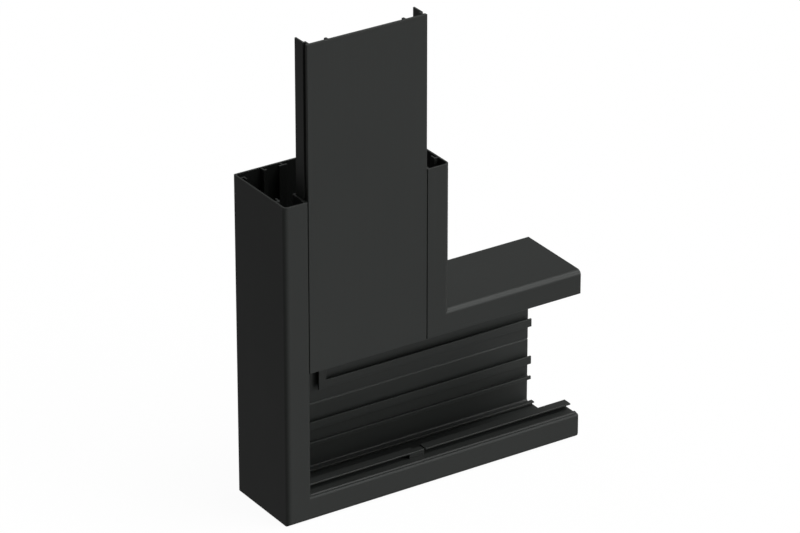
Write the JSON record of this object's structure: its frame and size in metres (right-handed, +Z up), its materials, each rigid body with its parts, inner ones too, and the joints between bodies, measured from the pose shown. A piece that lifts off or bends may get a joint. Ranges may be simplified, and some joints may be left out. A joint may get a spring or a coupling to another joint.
{
  "type": "cable duct flat corner",
  "caption": "Flat L-shaped corner of a dark grey plastic wall duct for cables, open along its front, with a snap-in lid standing up out of the upright leg",
  "frame": {"origin": "middle of the bounding box at the lower side: the duct stands on its lower side, 101 mm from either end of the level leg and halfway between front and wall face", "axes": "+X along the level leg away from the corner, +Y from the open front towards the wall, +Z up along the upright leg"},
  "size_m": [0.202, 0.0544, 0.2968],
  "materials": {
    "duct_plastic": "fine satin, graphite grey",
    "lid_plastic": "fine satin, graphite grey"
  },
  "bodies": {
    "root": {"body": "duct_plastic", "cover": "lid_plastic"}
  },
  "joints": []
}
